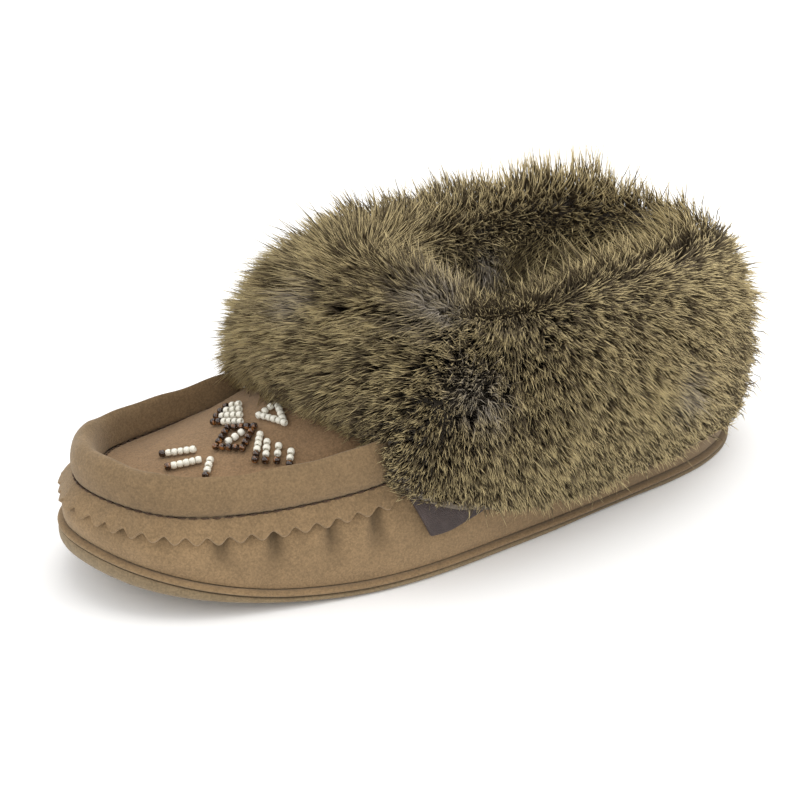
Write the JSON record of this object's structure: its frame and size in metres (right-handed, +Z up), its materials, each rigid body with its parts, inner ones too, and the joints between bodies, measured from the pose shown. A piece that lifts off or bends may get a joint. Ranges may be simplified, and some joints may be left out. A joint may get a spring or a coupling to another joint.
{
  "type": "suede slipper",
  "caption": "Moccasin slipper in tan suede: flat beaded apron inside a padded roll, soft sole, dark side tab and a deep fur cuff round the collar.",
  "frame": {"origin": "middle of the sole's length on its long axis, on the floor plane under the sole", "axes": "+Z up, -Y toward the toe, +X toward the outer side of the left foot"},
  "size_m": [0.1183, 0.271, 0.0991],
  "materials": {
    "sole_suede": "soft suede-wrapped sole",
    "welt_suede": "rounded suede strip, matt",
    "lining": "soft pile lining",
    "upper_suede": "brushed tan suede",
    "roll_suede": "padded brushed suede",
    "flap_suede": "cut suede edge",
    "tab_leather": "dark smooth leather",
    "fur": "deep soft fur, brown with pale tips",
    "white_bead": "opaque glossy glass beads",
    "dark_bead": "dark brown glossy glass beads"
  },
  "bodies": {
    "root": {"outsole": "sole_suede", "welt": "welt_suede", "insole": "lining", "upper": "upper_suede", "apron_roll": "roll_suede", "pinked_flap": "flap_suede", "side_tab": "tab_leather", "fur_cuff": "fur", "diamond_core": "white_bead", "head_frame": "white_bead", "inner_feather_1": "white_bead", "inner_feather_2": "white_bead", "inner_feather_3": "white_bead", "inner_feather_4": "white_bead", "outer_feather_1": "white_bead", "outer_feather_2": "white_bead", "outer_feather_3": "white_bead", "outer_feather_4": "white_bead", "tail_bar_1": "white_bead", "tail_bar_2": "white_bead", "tail_bar_3": "white_bead", "diamond_frame": "dark_bead"}
  },
  "joints": []
}
